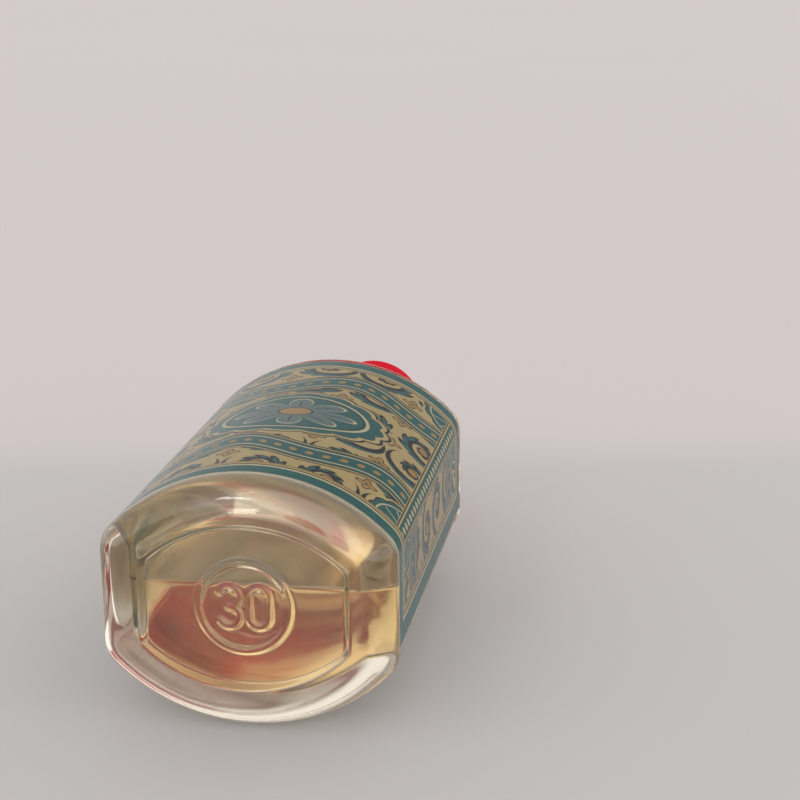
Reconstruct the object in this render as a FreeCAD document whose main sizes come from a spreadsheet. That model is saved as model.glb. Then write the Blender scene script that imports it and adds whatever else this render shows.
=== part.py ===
import FreeCAD, Part
import math
import os

import Sketcher
from FreeCAD import Placement, Rotation, Vector

# Splash bottle of clear glass, millimetres. Each piece is drawn upright about the bottle axis,
# base at height 0 and front towards -Y, and is then laid on its back by one shared placement:
# X stays across, the axis points along +Y and the front faces up.

doc = FreeCAD.newDocument("splash_bottle")
sheet = doc.addObject("Spreadsheet::Sheet", "Sizes")

SIZES = (
    ("body_width", 34.0, "across the two flat sides"),
    ("body_depth", 29.6, "across the bowed front and back"),
    ("face_radius", 22.2, "bow of the front and the back"),
    ("corner_radius", 3.7, "upright corners"),
    ("heel_radius", 3.2, "rounding between base and walls"),
    ("shoulder_start", 54.6, "height of the straight body"),
    ("shoulder_rise", 4.0, "height of the sloping shoulder"),
    ("shoulder_radius", 1.2, "rounding of the shoulder edge"),
    ("shoulder_drop", 1.4, "shoulder of the cavity below the outer one"),
    ("collar_radius", 7.0, "top of the shoulder"),
    ("finish_height", 12.4, "screw finish, collar to rim"),
    ("finish_radius", 5.6, "screw finish between the threads"),
    ("bore_radius", 3.75, "neck bore"),
    ("wall", 2.8, "glass wall"),
    ("base_thickness", 5.0, "glass under the cavity"),
    ("cavity_corner", 2.2, "upright corners of the cavity"),
    ("floor_radius", 2.6, "rounding of the cavity floor"),
    ("recess_depth", 0.2, "label panel below the glass beads"),
    ("recess_start", 3.6, "lower end of the label panel"),
    ("recess_end", 53.6, "upper end of the label panel"),
    ("panel_margin", 5.8, "base panel inside the body outline"),
    ("panel_corner", 1.6, "corners of the base panel"),
    ("panel_depth", 0.8, "base panel above the standing rim"),
    ("ring_radius", 5.2, "middle of the raised ring"),
    ("relief_radius", 0.45, "rounding of the relief on the base"),
    ("relief_sink", 0.1, "middle of the relief below the panel's face"),
    ("digit_height", 4.6, "mould number"),
    ("digit_gap", 1.1, "between the strokes of the two digits"),
    ("glue_film", 0.02, "between glass and paper"),
    ("paper", 0.12, "label thickness"),
    ("label_margin", 0.3, "label inside its panel, each end"),
    ("fill_film", 0.04, "kept between liquid and glass"),
    ("fill_level", 1.0, "liquid surface above the axis, bottle lying"),
    ("thread_pitch", 2.5, "one turn of the screw"),
    ("thread_turns", 1.75, "thread on the glass"),
    ("thread_start", 3.4, "first thread above the collar"),
    ("thread_depth", 0.65, "thread above the finish"),
    ("thread_root", 1.3, "thread width where it leaves the wall"),
    ("thread_crest", 0.5, "thread width at its top"),
    ("thread_play", 0.2, "radial play of the cap thread"),
    ("thread_offset", 0.86, "cap thread below the glass thread"),
    ("cap_turns", 1.25, "thread in the cap"),
    ("cap_radius", 7.3, "outside of the cap"),
    ("cap_top", 1.5, "thickness of the cap top"),
    ("cap_edge", 0.9, "rounding of the cap's top edge"),
    ("cap_foot_gap", 0.8, "between cap and collar"),
    ("crown_height", 9.5, "hollow of the cap above the wad"),
    ("crown_radius", 4.0, "hollow of the cap above the wad"),
    ("liner_radius", 6.0, "sealing wad"),
    ("liner_thickness", 1.0, "sealing wad"),
    ("flange_radius", 5.3, "insert on the rim"),
    ("flange_thickness", 0.7, "insert on the rim"),
    ("plug_play", 0.05, "radial play of the insert in the bore"),
    ("plug_wall", 0.8, "insert tube"),
    ("plug_length", 7.0, "insert below the rim"),
    ("orifice_radius", 1.25, "pouring hole"),
)
for row, (alias, value, note) in enumerate(SIZES, 1):
    sheet.set(f"A{row}", note)
    sheet.set(f"B{row}", str(value))
    sheet.setAlias(f"B{row}", alias)
doc.recompute()


def size(alias):
    """The number in one cell of the sheet."""
    return float(sheet.get(alias))


class Length:
    """A length worked out from the sheet, kept both as an expression and as a number."""

    def __init__(self, expression, number):
        self.expression = expression
        self.number = number

    def __add__(self, other):
        return Length(f"({self.expression} + {other.expression})", self.number + other.number)

    def __sub__(self, other):
        return Length(f"({self.expression} - {other.expression})", self.number - other.number)

    def __mul__(self, factor):
        return Length(f"({self.expression} * {factor})", self.number * factor)


def of_sheet(alias):
    return Length(f"Sizes.{alias}", size(alias))


nothing = Length("0", 0.0)
half_width = of_sheet("body_width") * 0.5
half_depth = of_sheet("body_depth") * 0.5
collar_height = of_sheet("shoulder_start") + of_sheet("shoulder_rise")
rim_height = collar_height + of_sheet("finish_height")
flange_top = rim_height + of_sheet("flange_thickness")
liner_top = flange_top + of_sheet("liner_thickness")
crown_top = liner_top + of_sheet("crown_height")
overall_length = crown_top + of_sheet("cap_top")
thread_top_radius = of_sheet("finish_radius") + of_sheet("thread_depth")
cap_bore = thread_top_radius + of_sheet("thread_play")
cap_crest_radius = of_sheet("finish_radius") + of_sheet("thread_play")
cap_foot = collar_height + of_sheet("cap_foot_gap")


def drive(thing, prop, length):
    """Bind a property to the sheet."""
    thing.setExpression(prop, length.expression)


def lay_down(thing):
    """Turn an upright piece onto its back, middle of the length over the origin."""
    thing.Placement = Placement(Vector(), Rotation(Vector(1, 0, 0), -90))
    thing.setExpression("Placement.Base.y", f"-{overall_length.expression} / 2")
    thing.setExpression("Placement.Base.z", half_depth.expression)


def new_body(name):
    body = doc.addObject("PartDesign::Body", name)
    body.Label = name
    lay_down(body)
    return body


def new_sketch(body, name, plane="XY_Plane", height=nothing):
    """A sketch on one of the body's own origin planes, lifted along its normal."""
    sketch = body.newObject("Sketcher::SketchObject", name)
    support = next(item for item in body.Origin.OriginFeatures if item.Role == plane)
    sketch.AttachmentSupport = [(support, "")]
    sketch.MapMode = "FlatFace"
    if height is not nothing:
        drive(sketch, "AttachmentOffset.Base.z", height)
    return sketch


def name_size(sketch, constraint, name, length):
    """Add a dimension and bind it to the sheet."""
    index = sketch.addConstraint(constraint)
    sketch.renameConstraint(index, name)
    drive(sketch, f"Constraints.{name}", length)


def body_outline(sketch, inset, corner):
    """Section of the bottle: bowed front and back, flat sides, round corners, moved in by inset."""
    across = half_width - inset
    through = half_depth - inset
    bow = of_sheet("face_radius") - inset
    centre = bow - through
    corner_x = across.number - corner.number
    slope = math.asin(corner_x / (bow.number - corner.number))
    corner_y = math.sqrt((bow.number - corner.number) ** 2 - corner_x ** 2) - centre.number
    quarter = math.pi / 2
    up = Vector(0, 0, 1)

    def arc(x, y, radius, start, end):
        circle = Part.Circle(Vector(x, y, 0), up, radius)
        return sketch.addGeometry(Part.ArcOfCircle(circle, start, end))

    def side(x, start, end):
        return sketch.addGeometry(Part.LineSegment(Vector(x, start, 0), Vector(x, end, 0)))

    front = arc(0, centre.number, bow.number, -quarter - slope, -quarter + slope)
    front_right = arc(corner_x, -corner_y, corner.number, -quarter + slope, 0)
    right = side(across.number, -corner_y, corner_y)
    back_right = arc(corner_x, corner_y, corner.number, 0, quarter - slope)
    back = arc(0, -centre.number, bow.number, quarter - slope, quarter + slope)
    back_left = arc(-corner_x, corner_y, corner.number, quarter + slope, math.pi)
    left = side(-across.number, corner_y, -corner_y)
    front_left = arc(-corner_x, -corner_y, corner.number, math.pi, 3 * quarter - slope)

    loop = (front, front_right, right, back_right, back, back_left, left, front_left)
    for here, after in zip(loop, loop[1:] + loop[:1]):
        sketch.addConstraint(Sketcher.Constraint("Tangent", here, 2, after, 1))
    for line in (right, left):
        sketch.addConstraint(Sketcher.Constraint("Vertical", line))
    for face in (front, back):
        sketch.addConstraint(Sketcher.Constraint("PointOnObject", face, 3, -2))
    sketch.addConstraint(Sketcher.Constraint("Equal", front, back))
    for other in (back_right, back_left, front_left):
        sketch.addConstraint(Sketcher.Constraint("Equal", front_right, other))
    tag = f"c{sketch.ConstraintCount}"
    dimensions = (
        ("bow", bow, ("Radius", front)),
        ("corner", corner, ("Radius", front_right)),
        ("right", across, ("DistanceX", -1, 1, right, 1)),
        ("left", across, ("DistanceX", left, 1, -1, 1)),
        ("front", centre, ("DistanceY", -1, 1, front, 3)),
        ("back", centre, ("DistanceY", back, 3, -1, 1)),
    )
    for name, length, where in dimensions:
        name_size(sketch, Sketcher.Constraint(*where, length.number), f"{tag}_{name}", length)


def circle_outline(sketch, radius):
    circle = sketch.addGeometry(Part.Circle(Vector(), Vector(0, 0, 1), radius.number))
    sketch.addConstraint(Sketcher.Constraint("Coincident", circle, 3, -1, 1))
    name_size(sketch, Sketcher.Constraint("Radius", circle, radius.number), "radius", radius)


def polygon(sketch, corners):
    """A closed run of straight lines; every corner is placed by two driven distances."""
    points = [Vector(x.number, y.number, 0) for x, y in corners]
    lines = [sketch.addGeometry(Part.LineSegment(a, b)) for a, b in zip(points, points[1:] + points[:1])]
    for here, after in zip(lines, lines[1:] + lines[:1]):
        sketch.addConstraint(Sketcher.Constraint("Coincident", here, 2, after, 1))
    for index, (line, (x, y)) in enumerate(zip(lines, corners)):
        if abs(x.number) < 1e-9:
            sketch.addConstraint(Sketcher.Constraint("PointOnObject", line, 1, -2))
        else:
            name_size(sketch, Sketcher.Constraint("DistanceX", -1, 1, line, 1, x.number), f"x{index}", x)
        if abs(y.number) < 1e-9:
            sketch.addConstraint(Sketcher.Constraint("PointOnObject", line, 1, -1))
        else:
            name_size(sketch, Sketcher.Constraint("DistanceY", -1, 1, line, 1, y.number), f"y{index}", y)


def pad(body, sketch, name, length):
    feature = body.newObject("PartDesign::Pad", name)
    feature.Profile = sketch
    drive(feature, "Length", length)
    doc.recompute()
    return feature


def pocket(body, sketch, name, length):
    """Cut upwards from a sketch, in the direction of its normal."""
    feature = body.newObject("PartDesign::Pocket", name)
    feature.Profile = sketch
    feature.Reversed = True
    drive(feature, "Length", length)
    doc.recompute()
    return feature


def turned(body, sketch, name):
    """A full revolution of a profile about the bottle axis."""
    feature = body.newObject("PartDesign::Revolution", name)
    feature.Profile = sketch
    feature.ReferenceAxis = (sketch, ["V_Axis"])
    feature.Angle = 360
    doc.recompute()
    return feature


def loft(body, first, last, name):
    feature = body.newObject("PartDesign::AdditiveLoft", name)
    feature.Profile = first
    feature.Sections = [last]
    feature.Ruled = True
    doc.recompute()
    return feature


def fillet(body, feature, name, radius, wanted):
    """Round the edges of a feature that the test picks out."""
    names = [f"Edge{i}" for i, edge in enumerate(feature.Shape.Edges, 1) if wanted(edge)]
    rounded = body.newObject("PartDesign::Fillet", name)
    rounded.Base = (feature, names)
    drive(rounded, "Radius", radius)
    doc.recompute()
    return rounded


def level_edge(height, tolerance=1e-4):
    """A test for edges that lie wholly at one height."""
    def wanted(edge):
        box = edge.BoundBox
        return abs(box.ZMin - height.number) < tolerance and abs(box.ZMax - height.number) < tolerance
    return wanted


def within(height, reach):
    """A test for edges at one height that stay within a distance of the axis across."""
    at_height = level_edge(height)

    def wanted(edge):
        return at_height(edge) and edge.BoundBox.XMax < reach and edge.BoundBox.XMin > -reach
    return wanted


def thread(body, name, radius_root, radius_crest, height, turns):
    """A helical ridge of trapezium section; root and crest may stand outwards or inwards."""
    root = of_sheet("thread_root") * 0.5
    crest = of_sheet("thread_crest") * 0.5
    sketch = new_sketch(body, f"{name}_section", "XZ_Plane")
    polygon(sketch, (
        (radius_root, height - root),
        (radius_crest, height - crest),
        (radius_crest, height + crest),
        (radius_root, height + root),
    ))
    doc.recompute()
    ridge = body.newObject("PartDesign::AdditiveHelix", name)
    ridge.Profile = sketch
    ridge.ReferenceAxis = (sketch, ["V_Axis"])
    ridge.Mode = "pitch-turns-angle"
    drive(ridge, "Pitch", of_sheet("thread_pitch"))
    drive(ridge, "Turns", turns)
    doc.recompute()
    return ridge


# The glass, outside first.
overlap = of_sheet("thread_depth") * 0.2
outer = new_body("glass_outside")
section = new_sketch(outer, "body_section")
body_outline(section, nothing, of_sheet("corner_radius"))
pad(outer, section, "straight_body", of_sheet("shoulder_start"))
low = new_sketch(outer, "shoulder_low", height=of_sheet("shoulder_start"))
body_outline(low, nothing, of_sheet("corner_radius"))
high = new_sketch(outer, "shoulder_high", height=collar_height)
circle_outline(high, of_sheet("collar_radius"))
shoulder = loft(outer, low, high, "shoulder")
shoulder_edge = fillet(outer, shoulder, "shoulder_edge", of_sheet("shoulder_radius"),
                       level_edge(of_sheet("shoulder_start")))
fillet(outer, shoulder_edge, "heel", of_sheet("heel_radius"), level_edge(nothing))

# The label panel, sunk between the heel and the shoulder.
panel = new_sketch(outer, "label_panel_section", height=of_sheet("recess_start"))
body_outline(panel, of_sheet("wall") * -1, of_sheet("corner_radius"))
body_outline(panel, of_sheet("recess_depth"), of_sheet("corner_radius") - of_sheet("recess_depth"))
pocket(outer, panel, "label_panel", of_sheet("recess_end") - of_sheet("recess_start"))

# The base panel, with its rims rounded, and the relief moulded on it.
sunk = new_sketch(outer, "base_panel_section")
body_outline(sunk, of_sheet("panel_margin"), of_sheet("panel_corner"))
base_panel = pocket(outer, sunk, "base_panel", of_sheet("panel_depth"))
inside = half_width.number - size("panel_margin")
panel_rim = fillet(outer, base_panel, "panel_rim", of_sheet("panel_depth") * 0.45,
                   within(nothing, inside + 1e-3))
fillet(outer, panel_rim, "panel_foot", of_sheet("panel_depth") * 0.45,
       within(of_sheet("panel_depth"), inside + 1e-3))


def relief_arc(name, x, y, radius, start, sweep):
    """A rounded bead along an arc on the base panel; angles in degrees."""
    bead = outer.newObject("PartDesign::AdditiveTorus", name)
    drive(bead, "Radius1", radius)
    drive(bead, "Radius2", of_sheet("relief_radius"))
    bead.Angle3 = sweep
    bead.Placement = Placement(Vector(), Rotation(Vector(0, 0, 1), start))
    place_relief(bead, x, y)


def relief_bar(name, x, y, length):
    """A rounded bead standing upright in the number."""
    bead = outer.newObject("PartDesign::AdditiveCylinder", name)
    drive(bead, "Radius", of_sheet("relief_radius"))
    drive(bead, "Height", length)
    bead.Placement = Placement(Vector(), Rotation(Vector(1, 0, 0), 90))
    place_relief(bead, x, y)


def relief_dot(name, x, y):
    """The round end of a bead."""
    bead = outer.newObject("PartDesign::AdditiveSphere", name)
    drive(bead, "Radius", of_sheet("relief_radius"))
    place_relief(bead, x, y)


def place_relief(bead, x, y):
    drive(bead, "Placement.Base.x", x)
    drive(bead, "Placement.Base.y", y)
    drive(bead, "Placement.Base.z", of_sheet("panel_depth") + of_sheet("relief_sink"))
    doc.recompute()


relief_arc("ring", nothing, nothing, of_sheet("ring_radius"), 0, 360)
bowl = of_sheet("digit_height") * 0.25
left_digit = (bowl + of_sheet("digit_gap") * 0.5) * -1
right_digit = bowl + of_sheet("digit_gap") * 0.5
hook_angle = 240
top_start = -150
foot_start = -90
relief_arc("three_top", left_digit, bowl * -1, bowl, top_start, hook_angle)
relief_arc("three_foot", left_digit, bowl, bowl, foot_start, hook_angle)
lean = math.cos(math.radians(top_start))
rise = math.sin(math.radians(top_start))
relief_dot("three_top_end", left_digit + bowl * lean, bowl * (rise - 1))
relief_dot("three_foot_end", left_digit + bowl * lean, bowl * (1 - rise))
relief_arc("zero_top", right_digit, bowl * -1, bowl, 180, 180)
relief_arc("zero_foot", right_digit, bowl, bowl, 0, 180)
relief_bar("zero_left", right_digit - bowl, bowl, bowl * 2)
relief_bar("zero_right", right_digit + bowl, bowl, bowl * 2)

# The screw finish.
finish = new_sketch(outer, "finish_section", height=collar_height - overlap)
circle_outline(finish, of_sheet("finish_radius"))
pad(outer, finish, "finish", of_sheet("finish_height") + overlap)
thread(outer, "glass_thread", of_sheet("finish_radius") - overlap, thread_top_radius,
       collar_height + of_sheet("thread_start"), of_sheet("thread_turns"))


def inside_shape(name, film, end):
    """The hollow of the bottle, kept a film away from the glass and ending at a height in the neck."""
    body = new_body(name)
    start = of_sheet("base_thickness") + film
    inset = of_sheet("wall") + film
    slope_start = of_sheet("shoulder_start") - of_sheet("shoulder_drop")
    slope_end = collar_height - of_sheet("shoulder_drop")
    floor = new_sketch(body, f"{name}_floor", height=start)
    body_outline(floor, inset, of_sheet("cavity_corner"))
    pad(body, floor, f"{name}_straight", slope_start - start)
    wide = new_sketch(body, f"{name}_wide", height=slope_start)
    body_outline(wide, inset, of_sheet("cavity_corner"))
    narrow = new_sketch(body, f"{name}_narrow", height=slope_end)
    circle_outline(narrow, of_sheet("bore_radius") - film)
    slope = loft(body, wide, narrow, f"{name}_slope")
    eased = fillet(body, slope, f"{name}_shoulder", of_sheet("shoulder_radius"), level_edge(slope_start))
    fillet(body, eased, f"{name}_floor_edge", of_sheet("floor_radius"), level_edge(start))
    neck = new_sketch(body, f"{name}_neck", height=slope_end)
    circle_outline(neck, of_sheet("bore_radius") - film)
    pad(body, neck, f"{name}_bore", end - slope_end)
    return body


cavity = inside_shape("cavity", nothing, rim_height)
glass = doc.addObject("Part::Cut", "glass_bottle")
glass.Base = outer
glass.Tool = cavity
doc.recompute()

# The liquid, level in the lying bottle.
film = of_sheet("fill_film")
fill = inside_shape("aftershave_fill", film, rim_height - of_sheet("plug_length") - film)
above = new_sketch(fill, "air_space")
level = of_sheet("fill_level") * -1
far = of_sheet("body_width")
polygon(above, ((far * -1, far * -1), (far, far * -1), (far, level), (far * -1, level)))
pocket(fill, above, "air", overall_length)

# The label: paper bent round the front and the sides, cut out of a thin ring.
paper_inside = of_sheet("recess_depth") - of_sheet("glue_film")
paper_outside = paper_inside - of_sheet("paper")
corner_run = half_width - of_sheet("corner_radius")
corner_reach = of_sheet("face_radius") - of_sheet("corner_radius")
face_centre = of_sheet("face_radius") - half_depth
flat_side = Length(
    f"(sqrt({corner_reach.expression} ^ 2 - {corner_run.expression} ^ 2) - {face_centre.expression})",
    math.sqrt(corner_reach.number ** 2 - corner_run.number ** 2) - face_centre.number)
wrap = new_body("wrap_label")
ring = new_sketch(wrap, "label_section", height=of_sheet("recess_start") + of_sheet("label_margin"))
body_outline(ring, paper_outside, of_sheet("corner_radius") - paper_outside)
body_outline(ring, paper_inside, of_sheet("corner_radius") - paper_inside)
pad(wrap, ring, "label_ring",
    of_sheet("recess_end") - of_sheet("recess_start") - of_sheet("label_margin") * 2)
open_back = new_sketch(wrap, "open_back")
polygon(open_back, ((far * -1, flat_side), (far, flat_side), (far, far), (far * -1, far)))
pocket(wrap, open_back, "label_cut", overall_length)

# The insert in the neck: a flange on the rim, a tube in the bore and a pouring hole.
insert = new_body("pour_insert")
profile = new_sketch(insert, "insert_profile", "XZ_Plane")
plug_outside = of_sheet("bore_radius") - of_sheet("plug_play")
plug_inside = plug_outside - of_sheet("plug_wall")
plug_end = rim_height - of_sheet("plug_length")
polygon(profile, (
    (of_sheet("orifice_radius"), rim_height),
    (plug_inside, rim_height),
    (plug_inside, plug_end),
    (plug_outside, plug_end),
    (plug_outside, rim_height),
    (of_sheet("flange_radius"), rim_height),
    (of_sheet("flange_radius"), flange_top),
    (of_sheet("orifice_radius"), flange_top),
))
turned(insert, profile, "insert_turned")

# The sealing wad and the cap.
liner = new_body("cap_liner")
disc = new_sketch(liner, "liner_section", height=flange_top)
circle_outline(disc, of_sheet("liner_radius"))
pad(liner, disc, "liner_disc", of_sheet("liner_thickness"))

cap = new_body("screw_cap")
shell = new_sketch(cap, "cap_profile", "XZ_Plane")
polygon(shell, (
    (cap_bore, cap_foot),
    (of_sheet("cap_radius"), cap_foot),
    (of_sheet("cap_radius"), overall_length),
    (nothing, overall_length),
    (nothing, crown_top),
    (of_sheet("crown_radius"), crown_top),
    (of_sheet("crown_radius"), liner_top),
    (cap_bore, liner_top),
))
cap_shell = turned(cap, shell, "cap_shell")
cap_rounded = fillet(cap, cap_shell, "cap_edge", of_sheet("cap_edge"), level_edge(overall_length))
thread(cap, "cap_thread", cap_bore + overlap, cap_crest_radius,
       collar_height + of_sheet("thread_start") - of_sheet("thread_offset"), of_sheet("cap_turns"))
doc.recompute()

# Every object is sound before any file is written.
for thing in doc.Objects:
    if "Invalid" in thing.State or "Error" in thing.State:
        raise RuntimeError(f"{thing.Name} did not compute: {thing.State}")
os.makedirs("parts", exist_ok=True)
for piece in (glass, wrap, fill, insert, liner, cap):
    if piece.Shape.isNull() or not piece.Shape.isValid() or len(piece.Shape.Solids) != 1:
        raise RuntimeError(f"{piece.Label} is not one sound solid")
    piece.Shape.exportStep(f"parts/{piece.Label}.step")
    box = piece.Shape.BoundBox
    extent = f"{box.XLength:.2f} x {box.YLength:.2f} x {box.ZLength:.2f} mm"
    print(f"{piece.Label}: {piece.Shape.Volume:.1f} mm3, {extent}")
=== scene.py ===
import math

import bmesh
import bpy
import numpy as np
from mathutils import Matrix, Vector, noise


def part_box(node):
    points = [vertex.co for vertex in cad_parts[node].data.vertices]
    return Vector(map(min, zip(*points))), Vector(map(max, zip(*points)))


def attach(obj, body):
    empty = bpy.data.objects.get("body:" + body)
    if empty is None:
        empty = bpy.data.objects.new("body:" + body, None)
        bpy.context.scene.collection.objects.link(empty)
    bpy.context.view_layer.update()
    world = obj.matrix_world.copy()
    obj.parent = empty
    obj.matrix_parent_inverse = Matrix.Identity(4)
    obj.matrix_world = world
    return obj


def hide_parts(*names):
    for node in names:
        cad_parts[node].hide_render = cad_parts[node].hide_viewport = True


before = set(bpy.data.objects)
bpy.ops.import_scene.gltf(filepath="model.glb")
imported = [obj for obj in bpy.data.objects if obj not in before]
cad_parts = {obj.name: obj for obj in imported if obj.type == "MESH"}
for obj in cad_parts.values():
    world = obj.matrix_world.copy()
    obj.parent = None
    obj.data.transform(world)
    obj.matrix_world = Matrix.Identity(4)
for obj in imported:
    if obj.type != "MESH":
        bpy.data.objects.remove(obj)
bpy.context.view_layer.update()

MM = 0.001

# Sizes in millimetres. Heights run from the base towards the cap; "up" is out of the front.
glass_low, glass_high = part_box("glass_bottle")
label_low, label_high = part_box("wrap_label")
_, fill_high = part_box("aftershave_fill")
BASE_Y = glass_low[1]
AXIS_Z = (glass_low[2] + glass_high[2]) / 2
HALF_WIDTH = (glass_high[0] - glass_low[0]) / 2 / MM
HALF_DEPTH = (glass_high[2] - glass_low[2]) / 2 / MM
RIM = (glass_high[1] - BASE_Y) / MM
LABEL_START = (label_low[1] - BASE_Y) / MM
LABEL_END = (label_high[1] - BASE_Y) / MM
LEVEL = (fill_high[2] - AXIS_Z) / MM
FILL_END = (fill_high[1] - BASE_Y) / MM
FACE_RADIUS = 22.2
CORNER = 3.7
HEEL = 3.2
HEEL_CORNER_LOSS = 0.62
LEAST_CORNER = 0.4
SHOULDER_START = 54.6
SHOULDER_RISE = 4.0
SHOULDER_DROP = 1.4
SHOULDER_EASE = 0.6
SHOULDER_EDGE = 0.12  # share of the slope taken by its rounded edge
COLLAR = SHOULDER_START + SHOULDER_RISE
COLLAR_RADIUS = 7.0
FINISH_RADIUS = 5.6
FINISH_ROOT = 0.5
LIP = 0.45
BORE = 3.75
WALL = 2.8
BASE_THICKNESS = 5.0
CAVITY_CORNER = 2.2
FLOOR_RADIUS = 2.6
FLOOR_CORNER = 0.9
FLOOR_CROWN = 0.35
CAVITY_SWELL = 0.16  # unevenness of the hollow
SWELL_SCALE = 11.0
SWELL_FULL = 6  # distance from the axis where the swell is whole
NECK_START = COLLAR - SHOULDER_DROP  # height where the hollow turns into the bore
RECESS = 0.2
RECESS_START = 3.6
RECESS_END = 53.6
RECESS_EDGE = 0.25
PANEL_MARGIN = 5.8
PANEL_CORNER = 1.6
PANEL_DEPTH = 0.8
PANEL_SLOPE = 0.9
PANEL_WAVE = 0.05
WAVE_SCALE = 5.0
RING_RADIUS = 5.2
RELIEF_HEIGHT = 0.36
RELIEF_WIDTH = 0.4
DIGIT_BOWL = 1.15
DIGIT_GAP = 1.1
THREAD_PITCH = 2.5
THREAD_TURNS = 1.75
THREAD_START = 3.4
THREAD_DEPTH = 0.65
THREAD_ROOT = 1.3
THREAD_CREST = 0.5
THREAD_LEAD, THREAD_FADE = 0.02, 0.3  # radians at each end of the ridge
PAPER_OUT = 0.06
PAPER_IN = 0.19
FILL_OVERLAP = 0.05
MENISCUS = 0.6
MENISCUS_REACH = 0.9
SEAT_DEPTH = 4.0  # glass under the label is further out than this
SEAT_TILT = -0.3  # glass that faces further down than this is the bare back

# How finely the meshes are cut.
SIDE_STEPS, CORNER_STEPS, FACE_STEPS = 20, 14, 84
PANEL_RINGS, PANEL_FIRST = 88, 0.012
PANEL_EDGE_STEPS, STANDING_STEPS, HEEL_STEPS = 10, 8, 22
RECESS_ROWS, RECESS_GAP = 20, 1
EDGE_STEPS, SLOPE_STEPS = 9, 18
ROOT_STEPS, LIP_STEPS = 6, 7
THREAD_STEP, THREAD_FOOT = 0.17, 0.1
BORE_ROWS, BORE_TOP, BORE_FOOT = 14, 1.2, 0.6
FLOOR_RINGS, FLOOR_FIRST = 22, 0.06
FLOOR_BEND_STEPS, CAVITY_ROWS = 12, 40
WALL_POINTS = 180
TOP_POINTS = 60
NECK_ROWS, FILL_FOOT = 12, 0.5
FILL_RINGS, FILL_FIRST = 14, 0.08
PAPER_STEPS = (60, 40, 400)
PAPER_COLUMNS = 220
PAPER_ROWS = 40
PAPER_EDGE = math.radians(40)


def smooth(low, high, x):
    """0 below low, 1 above high, eased between."""
    t = np.clip((np.asarray(x, float) - low) / (high - low), 0, 1)
    return t * t * (3 - 2 * t)


def quarter_turn(steps):
    return np.linspace(0, math.pi / 2, steps)


def arc_points(cx, cy, radius, start, end, steps):
    angles = np.linspace(start, end, steps, endpoint=False)
    return np.column_stack((cx + radius * np.cos(angles), cy + radius * np.sin(angles)))


def outline(inset, corner, steps=(SIDE_STEPS, CORNER_STEPS, FACE_STEPS)):
    """Section of the bottle as (across, up) points: left side, over the front, right side, back."""
    side_steps, corner_steps, face_steps = steps
    bow = FACE_RADIUS - inset
    across = HALF_WIDTH - inset
    centre = bow - (HALF_DEPTH - inset)
    cx = across - corner
    lean = math.asin(cx / (bow - corner))
    cy = math.sqrt((bow - corner) ** 2 - cx ** 2) - centre
    q = math.pi / 2
    climb = np.linspace(-cy, cy, side_steps, endpoint=False)
    return np.vstack((
        np.column_stack((np.full(side_steps, -across), climb)),
        arc_points(-cx, cy, corner, 2 * q, q + lean, corner_steps),
        arc_points(0, -centre, bow, q + lean, q - lean, face_steps),
        arc_points(cx, cy, corner, q - lean, 0, corner_steps),
        np.column_stack((np.full(side_steps, across), -climb)),
        arc_points(cx, -cy, corner, 0, -q + lean, corner_steps),
        arc_points(0, centre, bow, -q + lean, -q - lean, face_steps),
        arc_points(-cx, -cy, corner, -q - lean, -2 * q, corner_steps),
    ))


BODY = outline(0, CORNER)
ANGLES = np.arctan2(BODY[:, 1], BODY[:, 0])


def circle(radius):
    """A ring with as many points as the section; the radius may differ from point to point."""
    return np.column_stack((radius * np.cos(ANGLES), radius * np.sin(ANGLES)))


def place(points, height):
    """(across, up) points at a height, or at one height each, as positions in metres."""
    heights = np.broadcast_to(np.asarray(height, float), (len(points),))
    return np.column_stack((points[:, 0] * MM, BASE_Y + heights * MM, AXIS_Z + points[:, 1] * MM))


def ripple(points, scale, seed):
    """Soft unevenness between about -1 and 1, from solid noise in the bottle's own space."""
    offset = Vector((seed * 7.1, seed * 3.7, seed * 5.3))
    return np.array([noise.noise(Vector(p) / (scale * MM) + offset) for p in points])


def finish_mesh(name, verts, faces):
    """An object from points and faces, cleaned, facing outwards and shaded smooth."""
    mesh = bpy.data.meshes.new(name)
    mesh.from_pydata([tuple(v) for v in verts], [], faces)
    work = bmesh.new()
    work.from_mesh(mesh)
    bmesh.ops.remove_doubles(work, verts=work.verts, dist=1e-7)
    bmesh.ops.dissolve_degenerate(work, edges=work.edges, dist=1e-8)
    if work.calc_volume(signed=True) < 0:
        bmesh.ops.reverse_faces(work, faces=work.faces)
    for face in work.faces:
        face.smooth = True
    work.to_mesh(mesh)
    work.free()
    obj = bpy.data.objects.new(name, mesh)
    bpy.context.scene.collection.objects.link(obj)
    return obj


def tube_mesh(name, rings, first, last):
    """A skin over closed rings of points, closed on a point at each end."""
    count = len(rings[0])
    verts = np.vstack(rings + [[first], [last]])
    faces = []
    for r in range(len(rings) - 1):
        a, b = r * count, (r + 1) * count
        for i in range(count):
            j = (i + 1) % count
            faces.append((a + i, a + j, b + j, b + i))
    top = (len(rings) - 1) * count
    tip = len(rings) * count
    for i in range(count):
        j = (i + 1) % count
        faces.append((j, i, tip))
        faces.append((top + i, top + j, tip + 1))
    return finish_mesh(name, verts, faces)


# Relief on the base: a ring and a plain number, by distance from the middle of their strokes.
def segment_distance(points, a, b):
    a, b = np.array(a, float), np.array(b, float)
    t = np.clip(((points - a) @ (b - a)) / ((b - a) @ (b - a)), 0, 1)
    return np.linalg.norm(points - a - t[:, None] * (b - a), axis=1)


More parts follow.
